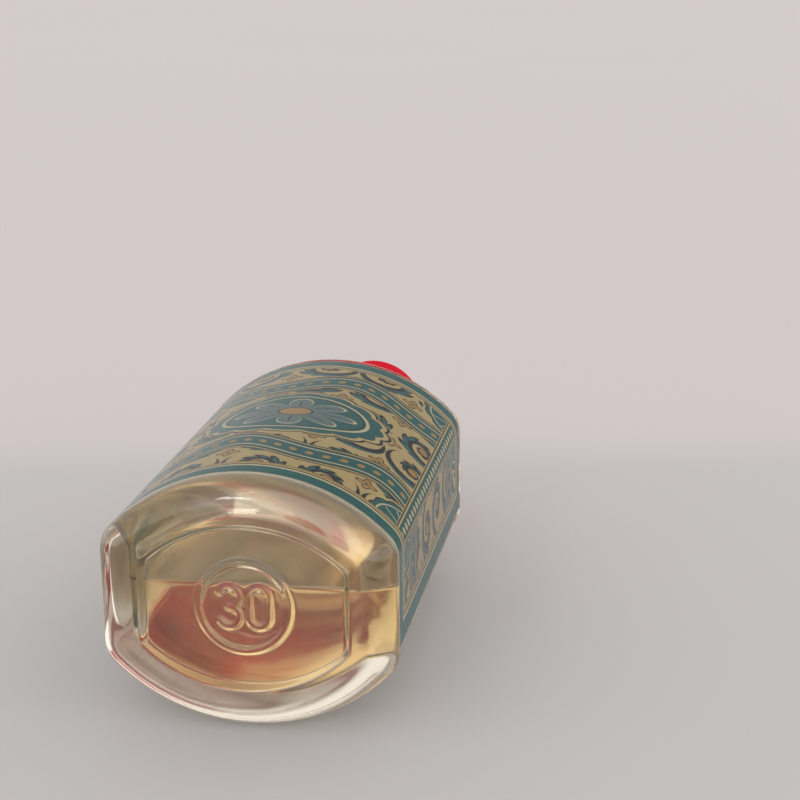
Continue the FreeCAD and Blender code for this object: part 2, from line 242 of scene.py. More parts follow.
def arc_distance(points, centre, radius, start, sweep):
    """Distance from an arc that runs anticlockwise from start, in degrees."""
    offset = points - np.array(centre, float)
    angle = np.degrees(np.arctan2(offset[:, 1], offset[:, 0]))
    on_arc = (angle - start) % 360 <= sweep
    ends = np.radians([start, start + sweep])
    tips = np.array(centre) + radius * np.column_stack((np.cos(ends), np.sin(ends)))
    to_tips = np.min([np.linalg.norm(points - tip, axis=1) for tip in tips], axis=0)
    return np.where(on_arc, np.abs(np.linalg.norm(offset, axis=1) - radius), to_tips)


def relief(points):
    """How far the moulded ring and number stand out of the base panel."""
    centre = DIGIT_BOWL + DIGIT_GAP / 2
    bowl = DIGIT_BOWL
    strokes = np.min([
        np.abs(np.linalg.norm(points, axis=1) - RING_RADIUS),
        arc_distance(points, (-centre, bowl), bowl, -90, 240),
        arc_distance(points, (-centre, -bowl), bowl, -150, 240),
        arc_distance(points, (centre, bowl), bowl, 0, 180),
        arc_distance(points, (centre, -bowl), bowl, 180, 180),
        segment_distance(points, (centre - bowl, -bowl), (centre - bowl, bowl)),
        segment_distance(points, (centre + bowl, -bowl), (centre + bowl, bowl)),
    ], axis=0)
    return RELIEF_HEIGHT / (1 + (strokes / RELIEF_WIDTH) ** 4)


def heel_corner(inset):
    return max(CORNER - HEEL_CORNER_LOSS * inset, LEAST_CORNER)


def shoulder_path(start):
    """(share of the way from wall to neck, height) pairs: a rounded edge, then a straight slope."""
    pairs = []
    for t in np.linspace(0, 1, EDGE_STEPS):
        share = SHOULDER_EDGE * t * t
        pairs.append((share, start - SHOULDER_EASE * (1 - t) ** 2 + share * SHOULDER_RISE))
    for share in np.linspace(SHOULDER_EDGE, 1, SLOPE_STEPS)[1:]:
        pairs.append((share, start + share * SHOULDER_RISE))
    return pairs


def threads(height):
    """Radius of the screw finish round one ring, with its helical ridge."""
    turn = np.mod(-ANGLES, 2 * math.pi)
    end = THREAD_TURNS * 2 * math.pi
    ridge = np.zeros_like(turn)
    for lap in range(math.ceil(THREAD_TURNS) + 1):
        travel = turn + 2 * math.pi * lap
        middle = COLLAR + THREAD_START + THREAD_PITCH * travel / (2 * math.pi)
        fade = smooth(-THREAD_LEAD, THREAD_FADE, travel)
        fade = fade * (1 - smooth(end - THREAD_FADE, end + THREAD_LEAD, travel))
        away = np.abs(height - middle)
        ridge = np.maximum(ridge, fade * (1 - smooth(THREAD_CREST / 2, THREAD_ROOT / 2, away)))
    return FINISH_RADIUS + THREAD_DEPTH * ridge


def cavity_rings(outset):
    """Rings of the hollow from its floor up to the neck, moved outwards by outset."""
    rings = []
    inset = WALL - outset
    floor = BASE_THICKNESS - outset
    edge = outline(inset + FLOOR_RADIUS, FLOOR_CORNER)
    for share in np.linspace(FLOOR_FIRST, 1, FLOOR_RINGS):
        rings.append((edge * share, floor + FLOOR_CROWN * (1 - share ** 2)))
    for angle in quarter_turn(FLOOR_BEND_STEPS)[1:]:
        back = FLOOR_RADIUS * (1 - math.sin(angle))
        corner = FLOOR_CORNER + (CAVITY_CORNER - FLOOR_CORNER) * math.sin(angle)
        rings.append((outline(inset + back, corner), floor + FLOOR_RADIUS * (1 - math.cos(angle))))
    section = outline(inset, CAVITY_CORNER)
    slope = SHOULDER_START - SHOULDER_DROP
    for height in np.linspace(floor + FLOOR_RADIUS, slope - SHOULDER_EASE, CAVITY_ROWS)[1:-1]:
        rings.append((section, height))
    bore = circle(BORE + outset)
    for share, height in shoulder_path(slope):
        rings.append((section + (bore - section) * share, height))
    uneven = []
    for points, height in rings:
        radius = np.linalg.norm(points, axis=1)
        swell = CAVITY_SWELL * ripple(place(points, height), SWELL_SCALE, 2)
        fade = np.clip(radius / SWELL_FULL, 0, 1)
        fade = fade * (1 - smooth(slope, NECK_START, height))
        uneven.append(place(points * (1 + swell * fade / np.maximum(radius, 1))[:, None], height))
    return uneven


def build_glass():
    """The bottle as one skin: base, heel, walls, shoulder, finish, and back down the hollow."""
    rings = []
    panel = outline(PANEL_MARGIN, PANEL_CORNER)
    for share in np.linspace(PANEL_FIRST, 1, PANEL_RINGS):
        points = panel * share
        wave = PANEL_WAVE * ripple(place(points, 0), WAVE_SCALE, 1)
        rings.append((points, PANEL_DEPTH - relief(points) + wave))
    for t in np.linspace(0, 1, PANEL_EDGE_STEPS)[1:]:
        inset = PANEL_MARGIN - PANEL_SLOPE * t
        rings.append((outline(inset, PANEL_CORNER), PANEL_DEPTH * (1 - float(smooth(0, 1, t)))))
    for inset in np.linspace(PANEL_MARGIN - PANEL_SLOPE, HEEL, STANDING_STEPS)[1:-1]:
        rings.append((outline(inset, heel_corner(inset)), 0.0))
    for angle in quarter_turn(HEEL_STEPS):
        inset = HEEL * (1 - math.sin(angle))
        rings.append((outline(inset, heel_corner(inset)), HEEL * (1 - math.cos(angle))))
    heights = [RECESS_START - RECESS_EDGE, RECESS_START, RECESS_START + RECESS_EDGE]
    heights += list(np.linspace(RECESS_START + RECESS_GAP, RECESS_END - RECESS_GAP, RECESS_ROWS))
    heights += [RECESS_END - RECESS_EDGE, RECESS_END, RECESS_END + RECESS_EDGE]
    for height in heights:
        inside = smooth(RECESS_START - RECESS_EDGE, RECESS_START + RECESS_EDGE, height)
        inside = inside * (1 - smooth(RECESS_END - RECESS_EDGE, RECESS_END + RECESS_EDGE, height))
        inset = RECESS * float(inside)
        rings.append((outline(inset, CORNER - inset), height))
    collar = circle(COLLAR_RADIUS)
    for share, height in shoulder_path(SHOULDER_START):
        rings.append((BODY + (collar - BODY) * share, height))
    for t in quarter_turn(ROOT_STEPS):
        radius = FINISH_RADIUS + FINISH_ROOT * (1 - math.sin(t))
        rings.append((circle(radius), COLLAR + FINISH_ROOT * (1 - math.cos(t))))
    for height in np.arange(COLLAR + FINISH_ROOT + THREAD_FOOT, RIM - LIP, THREAD_STEP):
        rings.append((circle(threads(height)), height))
    for t in quarter_turn(LIP_STEPS):
        radius = FINISH_RADIUS - LIP * (1 - math.cos(t))
        rings.append((circle(radius), RIM - LIP * (1 - math.sin(t))))
    for t in quarter_turn(LIP_STEPS):
        radius = BORE + LIP * (1 - math.sin(t))
        rings.append((circle(radius), RIM - LIP * (1 - math.cos(t))))
    for height in np.linspace(RIM - BORE_TOP, NECK_START + BORE_FOOT, BORE_ROWS):
        rings.append((circle(BORE), height))
    outside = [place(points, height) for points, height in rings]
    tip_out = np.array((0, BASE_Y + PANEL_DEPTH * MM, AXIS_Z))
    tip_in = np.array((0, BASE_Y + (BASE_THICKNESS + FLOOR_CROWN) * MM, AXIS_Z))
    return tube_mesh("bottle_glass", outside + cavity_rings(0.0)[::-1], tip_out, tip_in)


def mark_label_seat(glass):
    """Give the glass under the label its own material, number 1."""
    for face in glass.data.polygons:
        height = (face.center.y - BASE_Y) / MM
        outwards = face.normal.x * face.center.x + face.normal.z * (face.center.z - AXIS_Z)
        on_panel = RECESS_START < height < RECESS_END and outwards > SEAT_DEPTH * MM
        if on_panel and face.normal.z > SEAT_TILT:
            face.material_index = 1


def resample(points, count):
    """Points spread evenly along an open line, and the length of the line."""
    run = np.concatenate(([0], np.cumsum(np.linalg.norm(np.diff(points, axis=0), axis=1))))
    spots = np.linspace(0, run[-1], count)
    spread = [np.interp(spots, run, points[:, k]) for k in range(points.shape[1])]
    return np.column_stack(spread), run[-1]


def wet_ring(ring, floor):
    """One section of the liquid: the wall below the level, then the surface with its meniscus."""
    level, climb, reach = AXIS_Z + LEVEL * MM, MENISCUS * MM, MENISCUS_REACH * MM
    contact = level + climb
    loop = np.vstack((ring, ring[:1]))
    wet = loop[:, 2] <= contact
    crossings = np.flatnonzero(wet[:-1] != wet[1:])
    rise = next(i for i in crossings if wet[i])
    drop = next(i for i in crossings if not wet[i])
    ends = []
    for i in (rise, drop):
        share = (contact - loop[i, 2]) / (loop[i + 1, 2] - loop[i, 2])
        ends.append(loop[i] + share * (loop[i + 1] - loop[i]))
    left, right = ends
    wall = np.vstack((right, loop[drop + 1:-1], loop[:rise + 1], left))
    wall = resample(wall, WALL_POINTS)[0]
    turn = np.linspace(0, math.pi, TOP_POINTS + 2)[1:-1]
    across = left[0] + (right[0] - left[0]) * (1 - np.cos(turn)) / 2
    to_glass = np.minimum(np.minimum(across - left[0], right[0] - across), ring[0, 1] - floor)
    top = level + climb * np.exp(-np.maximum(to_glass, 0) / reach)
    surface = np.column_stack((across, np.full(TOP_POINTS, ring[0, 1]), top))
    return np.vstack((wall, surface))


def build_fill():
    """The liquid: the hollow's own shape, cut level, with a meniscus where it meets the glass."""
    hollow = cavity_rings(FILL_OVERLAP)[FLOOR_RINGS - 1:]
    for height in np.linspace(NECK_START + FILL_FOOT, FILL_END, NECK_ROWS):
        hollow.append(place(circle(BORE + FILL_OVERLAP), height))
    floor = hollow[0][0, 1]
    rings = [wet_ring(ring, floor) for ring in hollow]
    order = np.argsort(ANGLES)
    edge_radius = np.hypot(hollow[0][:, 0], hollow[0][:, 2] - AXIS_Z)[order]
    middle = rings[0].mean(axis=0)
    base = []
    for share in np.linspace(FILL_FIRST, 1, FILL_RINGS)[:-1]:
        points = middle + (rings[0] - middle) * share
        angle = np.arctan2(points[:, 2] - AXIS_Z, points[:, 0])
        radius = np.hypot(points[:, 0], points[:, 2] - AXIS_Z)
        out = radius / np.interp(angle, ANGLES[order], edge_radius, period=2 * math.pi)
        points[:, 1] = floor + FLOOR_CROWN * MM * np.clip(1 - out ** 2, 0, 1)
        base.append(points)
    return tube_mesh("aftershave", base + rings, base[0].mean(axis=0), rings[-1].mean(axis=0))


def build_label():
    """A closed paper shell over front and sides; its print has material 0, the rest 1."""
    side_steps, corner_steps, face_steps = PAPER_STEPS
    reach = 2 * side_steps + 2 * corner_steps + face_steps + 1
    sheets = []
    for inset in (PAPER_IN, PAPER_OUT):
        section = outline(inset, CORNER - inset, PAPER_STEPS)
        strip, length = resample(section[:reach], PAPER_COLUMNS)
        sheets.append(strip)
    heights = np.linspace(LABEL_START, LABEL_END, PAPER_ROWS)
    verts = np.vstack([place(sheet, height) for sheet in sheets for height in heights])
    layer = PAPER_ROWS * PAPER_COLUMNS
    faces = []
    for row in range(PAPER_ROWS - 1):
        for column in range(PAPER_COLUMNS - 1):
            a = row * PAPER_COLUMNS + column
            quad = (a, a + PAPER_COLUMNS, a + PAPER_COLUMNS + 1, a + 1)
            faces.append(quad)
            faces.append(tuple(corner + layer for corner in quad[::-1]))
    last_row = (PAPER_ROWS - 1) * PAPER_COLUMNS
    rim = [row * PAPER_COLUMNS for row in range(PAPER_ROWS)]
    rim += [last_row + column for column in range(1, PAPER_COLUMNS)]
    rim += [row * PAPER_COLUMNS + PAPER_COLUMNS - 1 for row in range(PAPER_ROWS - 2, -1, -1)]
    rim += list(range(PAPER_COLUMNS - 2, 0, -1))
    for a, b in zip(rim, rim[1:] + rim[:1]):
        faces.append((a, a + layer, b + layer, b))
    obj = finish_mesh("paper_wrap", verts, faces)
    mesh = obj.data
    mesh.set_sharp_from_angle(angle=PAPER_EDGE)
    flat = np.column_stack((
        np.tile(np.linspace(-length / 2, length / 2, PAPER_COLUMNS), 2 * PAPER_ROWS),
        np.tile(np.repeat(heights - LABEL_START, PAPER_COLUMNS), 2)))
    on_print = np.array([all(v >= layer for v in face.vertices) for face in mesh.polygons])
    mesh.polygons.foreach_set("material_index", np.where(on_print, 0, 1).astype(np.int32))
    spots = np.empty(len(mesh.loops), dtype=np.int32)
    mesh.loops.foreach_get("vertex_index", spots)
    paper = mesh.uv_layers.new(name="paper")
    paper.data.foreach_set("uv", flat[spots].ravel())
    share = flat[spots] / (length, LABEL_END - LABEL_START) + (0.5, 0)
    half_sheet = np.where(spots >= layer, 0.0, 0.5)  # the print on the left half of the map
    packed = np.column_stack((0.01 + 0.48 * share[:, 0] + half_sheet, share[:, 1]))
    bake = mesh.uv_layers.new(name="OFBake")
    bake.data.foreach_set("uv", packed.ravel())
    return obj, length / 2


# Materials.
def srgb(r, g, b):
    """A colour given as 0 to 255 screen values, as linear numbers."""
    shares = (r / 255, g / 255, b / 255)
    return tuple(((c + 0.055) / 1.055) ** 2.4 if c > 0.04 else c / 12.92 for c in shares)


GLASS_TINT = (1, 0.92, 0.775)
GLASS_CLEAR = 0.99
GLASS_IOR = 1.5
GLASS_ROUGH = (0.05, 0.12)
SEAT_ROUGH = (0.48, 0.58)
LIQUID_TINT = (0.99, 0.82, 0.34)
LIQUID_DENSITY = 20
LIQUID_IOR = 1.36
CREAM = srgb(190, 170, 118)
GOLD = srgb(168, 134, 70)
IVORY = srgb(200, 190, 154)
TEAL = srgb(0, 90, 90)
LEAF = srgb(6, 100, 100)
INK = srgb(12, 12, 14)
STEEL = srgb(92, 116, 116)
WORN = srgb(196, 190, 172)
AGED = 0.86  # how dark the cream gets in its darker clouds
PAPER_TINT = (0.96, 0.87, 0.72)
PRINT_THROUGH = 0.52
INK_DENSITY = 0.95
REVERSE_PALE, REVERSE_DARK = srgb(250, 232, 198), srgb(244, 222, 186)
REVERSE_TINT = (0.98, 0.88, 0.72)
REVERSE_THROUGH = 0.6
CAP_PALE, CAP_DARK = srgb(152, 78, 126), srgb(142, 72, 118)
CAP_TINT = (0.94, 0.03, 0.1)
CAP_ROUGH, CAP_THROUGH = 0.3, 0.93
INSERT_PALE, INSERT_DARK = srgb(226, 222, 212), srgb(218, 214, 204)
INSERT_TINT = srgb(246, 240, 230)
INSERT_ROUGH, INSERT_THROUGH = 0.45, 0.92
WAD_PALE, WAD_DARK = srgb(238, 236, 228), srgb(230, 228, 218)
WAD_TINT = srgb(244, 242, 236)
WAD_ROUGH, WAD_THROUGH = 0.7, 0.8


def new_material(name):
    material = bpy.data.materials.new(name)
    material.use_nodes = True
    nodes = material.node_tree.nodes
    return material, nodes, material.node_tree.links, nodes["Principled BSDF"]


def add_noise(nodes, links, scale, detail):
    coords = nodes.new("ShaderNodeTexCoord")
    texture = nodes.new("ShaderNodeTexNoise")
    texture.inputs["Scale"].default_value = scale
    texture.inputs["Detail"].default_value = detail
    texture.inputs["Roughness"].default_value = 0.55
    links.new(coords.outputs["Object"], texture.inputs["Vector"])
    return texture.outputs["Fac"]


def add_range(nodes, links, value, low, high, out_low, out_high):
    spread = nodes.new("ShaderNodeMapRange")
    spread.inputs["From Min"].default_value = low
    spread.inputs["From Max"].default_value = high
    spread.inputs["To Min"].default_value = out_low
    spread.inputs["To Max"].default_value = out_high
    links.new(value, spread.inputs["Value"])
    return spread.outputs["Result"]


def add_mix(nodes, links, factor, first, second):
    """Mix two colours, each a socket or an (r, g, b) triple."""
    mix = nodes.new("ShaderNodeMix")
    mix.data_type = "RGBA"
    links.new(factor, mix.inputs["Factor"])
    for socket, value in ((mix.inputs[6], first), (mix.inputs[7], second)):
        if isinstance(value, tuple):
            socket.default_value = (*value, 1)
        else:
            links.new(value, socket)
    return mix.outputs[2]


def add_bump(nodes, links, height, shader, strength, distance):
    bump = nodes.new("ShaderNodeBump")
    bump.inputs["Strength"].default_value = strength
    bump.inputs["Distance"].default_value = distance
    links.new(height, bump.inputs["Height"])
    links.new(bump.outputs["Normal"], shader.inputs["Normal"])


def let_light_through(nodes, links, shader, share, colour):
    """Pass a share of the light on instead of throwing it back, as thin paper and plastic do."""
    through = nodes.new("ShaderNodeBsdfTranslucent")
    if isinstance(colour, tuple):
        through.inputs["Color"].default_value = (*colour, 1)
    else:
        links.new(colour, through.inputs["Color"])
    mix = nodes.new("ShaderNodeMixShader")
    mix.inputs["Fac"].default_value = share
    links.new(shader.outputs["BSDF"], mix.inputs[1])
    links.new(through.outputs["BSDF"], mix.inputs[2])
    links.new(mix.outputs["Shader"], nodes["Material Output"].inputs["Surface"])


def glass_material(name, rough):
    material, nodes, links, shader = new_material(name)
    shader.inputs["Base Color"].default_value = (*GLASS_TINT, 1)
    shader.inputs["Transmission Weight"].default_value = GLASS_CLEAR
    shader.inputs["IOR"].default_value = GLASS_IOR
    grain = add_noise(nodes, links, 260, 2)
    links.new(add_range(nodes, links, grain, 0.35, 0.8, *rough), shader.inputs["Roughness"])
    add_bump(nodes, links, add_noise(nodes, links, 120, 1), shader, 0.08, 0.0004)
    return material


def fill_material():
    material, nodes, links, shader = new_material("pale_liquid")
    shader.inputs["Base Color"].default_value = (1, 1, 1, 1)
    shader.inputs["Transmission Weight"].default_value = 1
    shader.inputs["Roughness"].default_value = 0
    shader.inputs["IOR"].default_value = LIQUID_IOR
    absorb = nodes.new("ShaderNodeVolumeAbsorption")
    absorb.inputs["Color"].default_value = (*LIQUID_TINT, 1)
    absorb.inputs["Density"].default_value = LIQUID_DENSITY
    links.new(absorb.outputs["Volume"], nodes["Material Output"].inputs["Volume"])
    return material


class Field:
    """A number that varies over the print, worked out by math nodes."""

    tree = None

    def __init__(self, socket):
        self.socket = socket

    @classmethod
    def work_out(cls, operation, *values, clamp=False):
        node = cls.tree.nodes.new("ShaderNodeMath")
        node.operation = operation
        node.use_clamp = clamp
        for slot, value in zip(node.inputs, values):
            if isinstance(value, Field):
                cls.tree.links.new(value.socket, slot)
            else:
                slot.default_value = value
        return cls(node.outputs[0])

    def __add__(self, other):
        return self.work_out("ADD", self, other)

    def __sub__(self, other):
        return self.work_out("SUBTRACT", self, other)

    def __rsub__(self, other):
        return self.work_out("SUBTRACT", other, self)

    def __mul__(self, other):
        return self.work_out("MULTIPLY", self, other)

    def __truediv__(self, other):
        return self.work_out("DIVIDE", self, other)

    def __abs__(self):
        return self.work_out("ABSOLUTE", self)

    def floor(self):
        return self.work_out("FLOOR", self)

    def round(self):
        return self.work_out("ROUND", self)

    def sin(self):
        return self.work_out("SINE", self)

    def cos(self):
        return self.work_out("COSINE", self)

    def sqrt(self):
        return self.work_out("SQRT", self)

    def log(self):
        return self.work_out("LOGARITHM", self, math.e)

    def low(self, other):
        return self.work_out("MINIMUM", self, other)

    def high(self, other):
        return self.work_out("MAXIMUM", self, other)

    def angle(self, across):
        return self.work_out("ARCTAN2", self, across)


def cover(distance):
    """1 inside a shape and 0 outside, from a signed distance in millimetres."""
    return Field.work_out("MULTIPLY_ADD", distance, -0.5 / PRINT_EDGE, 0.5, clamp=True)


def line(distance, width):
    """1 on a line of that width along a shape's edge and 0 off it."""
    return cover(abs(distance) - width / 2)


def hypot(x, y):
    return (x * x + y * y).sqrt()


# The label's own design, in millimetres of flat paper. Each function gives layers of mask and
# colour, the lowest first.
PRINT_EDGE = 0.05
BORDER = 3.9
FRONT_EDGE = 19.2
SIDE_MIDDLE = 24.1
SCROLL = 8.4
SCROLL_GROWTH = 0.21
SCROLL_EYE = 0.1 * SCROLL
STEM = 0.24
BUD, BUD_LOBE, BUD_HEART = 1.05, 0.34, 0.28
RIBBON_PLACE = 13.4
RIBBON_SWING = 1.7
RIBBON_WAVE = 19.2
RIBBON_GROUND, RIBBON_LINE, RIBBON_RIM, RIBBON_BODY, RIBBON_STRIPE = 3.1, 2.95, 2.5, 2.25, 1.6
BEAD, BEAD_PITCH = 0.5, 2.0
OVAL_WIDE, OVAL_HIGH = 1.3, 0.92
OVAL, OVAL_SCALLOP, OVAL_GROUND, OVAL_RING = 8.3, 0.55, 1.0, 7.1
PETAL, PETAL_FOOT, PETAL_END, HEART = 5.4, 0.5, 6.4, 1.6
RIB_START, RIB_END = 2.3, 4.6
FAN, FAN_SCALLOP, FAN_GROUND, FAN_RAY = 5.0, 0.4, 0.5, 4.0
PEARL, PEARL_PITCH = 0.45, 1.5
STRING_GROUND, STRING_LINE, STRING_BODY = 1.4, 1.2, 0.85


def scroll_work(u, v):
    """Running scrolls: in each square a spiral stem with lobed leaves, and buds between."""
    across = (u / SCROLL).round()
    along = (v / SCROLL).floor()
    x = (u - across * SCROLL) * ((across + along) * math.pi).cos()
    y = v - (along + 0.5) * SCROLL
    r = hypot(x, y)
    angle = y.angle(x)
    turn = ((r / (0.47 * SCROLL)).log() / SCROLL_GROWTH - angle) / (2 * math.pi)
    apart = (turn - turn.round()) * r * (2 * math.pi * SCROLL_GROWTH)
    inside = cover(r - 0.49 * SCROLL) * cover(SCROLL_EYE - r)
    stem = cover(abs(apart) - r * 0.06 - STEM) * inside
    lobe = abs((angle * 3 + r.log() * 7).sin())
    width = (lobe * 0.3 + 0.26) * r
    outer_side = cover(apart * -1) * inside
    leaf = cover(apart - width) * outer_side
    leaf_edge = line(apart - width, 0.5) * outer_side
    vein = cover((lobe - 0.14) * r) * leaf
    eye = r - SCROLL_EYE
    bud_x = u - ((u / SCROLL - 0.5).round() + 0.5) * SCROLL
    bud_y = v - (v / SCROLL).round() * SCROLL
    bud_r = hypot(bud_x, bud_y)
    bud = bud_r - ((bud_y.angle(bud_x) * 4).cos() * BUD_LOBE + BUD)
    drawn = stem.high(leaf_edge).high(vein).high(line(eye, 0.22)).high(line(bud, 0.22))
    return (
        (leaf, LEAF),
        (cover(eye).high(cover(bud)), GOLD),
        (drawn, INK),
        (cover(bud_r - BUD_HEART), TEAL),
    )


def ribbons(u, v):
    """Two waving ribbons, one each side of the middle."""
    wave = (u * (2 * math.pi / RIBBON_WAVE)).sin() * RIBBON_SWING
    across = abs(abs(v) - wave - RIBBON_PLACE)
    bead = u - ((u / BEAD_PITCH).floor() + 0.5) * BEAD_PITCH
    return (
        (cover(across - RIBBON_GROUND), CREAM),
        (line(across - RIBBON_LINE, 0.3), INK),
        (cover(across - RIBBON_RIM), INK),
        (cover(across - RIBBON_BODY), TEAL),
        (line(across - RIBBON_STRIPE, 0.3), IVORY),
        (cover(hypot(bead, across) - BEAD), GOLD),
    )


def medallion(u, v):
    """An oval with a scalloped rim and a plain rosette, in the middle of the front."""
    x, y = u / OVAL_WIDE, v / OVAL_HIGH
    r = hypot(x, y)
    angle = y.angle(x)
    rim = r - (abs((angle * 8).cos()) * OVAL_SCALLOP + OVAL)
    petal = r - (abs((angle * 4).cos()).sqrt() * PETAL + PETAL_FOOT)
    rib = abs((angle * 4).sin()) * r
    return (
        (cover(rim - OVAL_GROUND), CREAM),
        (line(rim - 0.7, 0.34), INK),
        (cover(rim), TEAL),
        (line(r - OVAL_RING, 0.36), IVORY),
        (line(r - 6.7, 0.16), INK),
        (cover(petal) * cover(1.7 - r), STEEL),
        (line(petal, 0.3) * cover(HEART - r) * cover(r - PETAL_END), IVORY),
        (cover(rib - 0.35) * cover(RIB_START - r) * cover(r - RIB_END), INK),
        (cover(r - HEART), GOLD),
        (line(r - 1.65, 0.24), INK),
    )


def fans(column, v, height):
    """Quarter fans where the corner strings meet the border."""
    y = (v - BORDER).low(height - BORDER - v)
    r = hypot(column, y)
    angle = y.angle(column)
    rim = r - (abs((angle * 6).cos()) * FAN_SCALLOP + FAN)
    ray = abs((angle * 6).sin()) * r
    inside = cover(rim)
    return (
        (cover(rim - FAN_GROUND), CREAM),
        (inside, TEAL),
        (line(rim, 0.24), INK),
        (cover(ray - 0.5) * cover(r - FAN_RAY) * cover(1.6 - r), IVORY),
        (line(r - 4.35, 0.24) * inside, IVORY),
    )


def pearl_strings(column, v):
    """A string of pearls down each front corner of the bottle."""
    pearl = hypot(column, v - ((v / PEARL_PITCH).floor() + 0.5) * PEARL_PITCH)
    return (
        (cover(column - STRING_GROUND), CREAM),
        (line(column - STRING_LINE, 0.2), INK),
        (cover(column - STRING_BODY), TEAL),
        (cover(pearl - PEARL), IVORY),
    )


def stripes(edge):
    """Stripes round the edge of the label, by their distance from it."""
    return (
        (cover(edge - BORDER), CREAM),
        (line(edge - 3.75, 0.16), INK),
        (line(edge - 3.45, 0.16), GOLD),
        (cover(edge - 3.15), INK),
        (cover(edge - 2.85), IVORY),
        (cover(edge - 2.4), TEAL),
        (line(edge - 1.2, 0.16), LEAF),
    )


def print_material(half, height):
    """The printed face: half the label's width and its height set where the border runs."""
    material, nodes, links, shader = new_material("printed_paper")
    Field.tree = material.node_tree
    flat = nodes.new("ShaderNodeUVMap")
    flat.uv_map = "paper"
    parts = nodes.new("ShaderNodeSeparateXYZ")
    links.new(flat.outputs["UV"], parts.inputs["Vector"])
    u, v = Field(parts.outputs["X"]), Field(parts.outputs["Y"])
    middle = v - height / 2
    beyond = abs(u) - FRONT_EDGE
    on_side = cover(beyond * -1)
    column = abs(beyond)
    edge = (half - abs(u)).low(v).low(height - v)
    layers = list(scroll_work(u + on_side * (abs(u) - SIDE_MIDDLE - u), middle))
    layers += ribbons(u, middle)
    layers += medallion(u, middle)
    layers += fans(column, v, height)
    layers += pearl_strings(column, v)
    layers += stripes(edge)
    tone = add_noise(nodes, links, 90, 5)
    colour = add_mix(nodes, links, tone, CREAM, tuple(c * AGED for c in CREAM))
    for mask, ink in layers:
        colour = add_mix(nodes, links, mask.socket, colour, ink)
    worn = add_range(nodes, links, edge.socket, 0.05, 0.35, 0.55, 0.0)
    colour = add_mix(nodes, links, worn, colour, WORN)
    links.new(colour, shader.inputs["Base Color"])
    shader.inputs["Specular IOR Level"].default_value = 0.06
    shader.inputs["Sheen Weight"].default_value = 1.0
    shader.inputs["Sheen Roughness"].default_value = 0.25
    fibre = add_noise(nodes, links, 900, 4)
    links.new(add_range(nodes, links, fibre, 0.3, 0.7, 0.2, 0.3), shader.inputs["Roughness"])
    add_bump(nodes, links, fibre, shader, 0.12, 0.00005)
    through = nodes.new("ShaderNodeMix")
    through.data_type = "RGBA"
    through.inputs["Factor"].default_value = INK_DENSITY
    through.inputs[6].default_value = (*PAPER_TINT, 1)
    links.new(colour, through.inputs[7])
    let_light_through(nodes, links, shader, PRINT_THROUGH, through.outputs[2])
    return material


def reverse_material():
    material, nodes, links, shader = new_material("paper_reverse")
    tone = add_noise(nodes, links, 70, 5)
    links.new(add_mix(nodes, links, tone, REVERSE_PALE, REVERSE_DARK), shader.inputs["Base Color"])
    shader.inputs["Roughness"].default_value = 0.8
    add_bump(nodes, links, add_noise(nodes, links, 800, 3), shader, 0.1, 0.00005)
    let_light_through(nodes, links, shader, REVERSE_THROUGH, REVERSE_TINT)
    return material


def soft_plastic(name, pale, dark, rough, through, tint):
    """Plastic thin enough to glow."""
    material, nodes, links, shader = new_material(name)
    tone = add_noise(nodes, links, 160, 4)
    links.new(add_mix(nodes, links, tone, pale, dark), shader.inputs["Base Color"])
    grain = add_noise(nodes, links, 1400, 3)
    roughness = add_range(nodes, links, grain, 0.3, 0.7, rough - 0.05, rough + 0.07)
    links.new(roughness, shader.inputs["Roughness"])
    add_bump(nodes, links, grain, shader, 0.08, 0.00004)
    shader.inputs["Specular IOR Level"].default_value = 0.5
    let_light_through(nodes, links, shader, through, tint)
    return material


def stand_in(obj, node):
    """Let a finer shape take the place of a solid of the bottle."""
    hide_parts(node)
    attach(obj, "bottle")


def dress(node, material):
    """Give a solid of the part its material."""
    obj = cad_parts[node]
    obj.data.materials.clear()
    obj.data.materials.append(material)


glass = build_glass()
glass.data.materials.append(glass_material("clear_glass", GLASS_ROUGH))
glass.data.materials.append(glass_material("label_seat", SEAT_ROUGH))
mark_label_seat(glass)
stand_in(glass, "glass_bottle")

fill = build_fill()
fill.data.materials.append(fill_material())
stand_in(fill, "aftershave_fill")

label, label_half = build_label()
label.data.materials.append(print_material(label_half, LABEL_END - LABEL_START))
label.data.materials.append(reverse_material())
stand_in(label, "wrap_label")

red = soft_plastic("red_plastic", CAP_PALE, CAP_DARK, CAP_ROUGH, CAP_THROUGH, CAP_TINT)
white = soft_plastic(
    "white_plastic", INSERT_PALE, INSERT_DARK, INSERT_ROUGH, INSERT_THROUGH, INSERT_TINT)
foam = soft_plastic("liner_foam", WAD_PALE, WAD_DARK, WAD_ROUGH, WAD_THROUGH, WAD_TINT)
dress("screw_cap", red)
dress("pour_insert", white)
dress("cap_liner", foam)

# Camera, at the photograph's place. The eye is given in body widths from the middle of the base.
PHOTO_SIDE = 800
FOCAL_PX = 1862.717
AZIMUTH, ELEVATION, ROLL = math.radians(9.549), math.radians(15.586), math.radians(-0.56)
EYE = Vector((1.4489, -5.4872, 2.2783)) * 2 * HALF_WIDTH * MM + Vector((0, BASE_Y, AXIS_Z))
ahead = Vector((-math.sin(AZIMUTH), math.cos(AZIMUTH), 0))
back = Vector((0, 0, 1)) * math.sin(ELEVATION) - ahead * math.cos(ELEVATION)
right = Vector((0, 0, 1)).cross(back).normalized()
up = back.cross(right)
tilted_right = math.cos(ROLL) * right + math.sin(ROLL) * up
tilted_up = math.cos(ROLL) * up - math.sin(ROLL) * right
lens = bpy.data.cameras.new("camera")
lens.sensor_width = 36
lens.lens = lens.sensor_width * FOCAL_PX / PHOTO_SIDE
lens.clip_start = 0.01
camera = bpy.data.objects.new("camera", lens)
